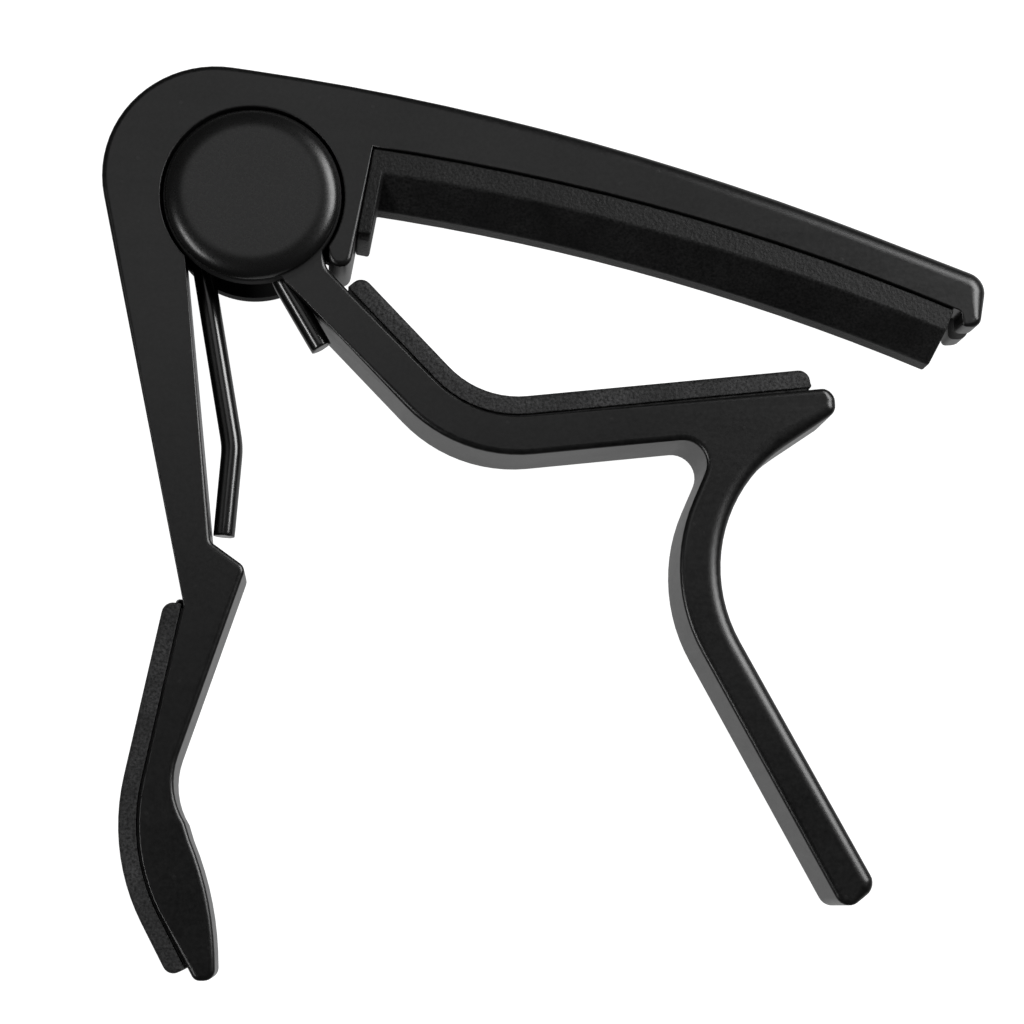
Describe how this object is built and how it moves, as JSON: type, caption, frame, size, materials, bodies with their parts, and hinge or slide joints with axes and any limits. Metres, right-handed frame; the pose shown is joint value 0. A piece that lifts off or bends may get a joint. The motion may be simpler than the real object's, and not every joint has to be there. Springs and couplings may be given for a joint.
{
  "type": "guitar capo",
  "caption": "Spring guitar capo: curved bar with a rubber string pad, padded neck jaw on a sprung trigger arm, and two squeeze handles about a capped pivot.",
  "frame": {"origin": "on the pivot's axis, at the flat face of the rear cap", "axes": "+Z along the pivot from the rear cap to the front cap, +X along the bar away from the pivot, -Y towards the ends of the handles"},
  "size_m": [0.0902, 0.0915, 0.0116],
  "materials": {
    "black_enamel": "satin black enamel on cast alloy",
    "black_wire": "gloss black coating on spring wire",
    "pad_rubber": "matt, fine grain",
    "tape": "adhesive foam tape",
    "cap_plastic": "satin moulded",
    "pin_steel": "plain turned and stamped",
    "nylon": "natural nylon"
  },
  "bodies": {
    "frame": {"frame": "black_enamel", "string_pad": "pad_rubber", "handle_pad": "pad_rubber", "handle_pad_tape": "tape", "torsion_spring": "black_wire", "spring_bush": "nylon", "pivot_pin": "pin_steel", "front_cap": "cap_plastic", "rear_cap": "cap_plastic", "rear_washer": "pin_steel", "front_washer": "pin_steel", "hub_washer": "pin_steel", "retaining_ring": "pin_steel"},
    "trigger": {"trigger_arm": "black_enamel", "neck_pad": "pad_rubber", "neck_pad_tape": "tape"}
  },
  "joints": [
    {"name": "trigger_pivot", "type": "hinge", "parent": "frame", "child": "trigger", "pos_m": [0, 0, 0.0058], "axis": [0, 0, -1], "range_deg": [0, 26], "stiffness_Nm_per_rad": 2.6, "springref_deg": -20.05, "deforming": ["torsion_spring"]}
  ]
}
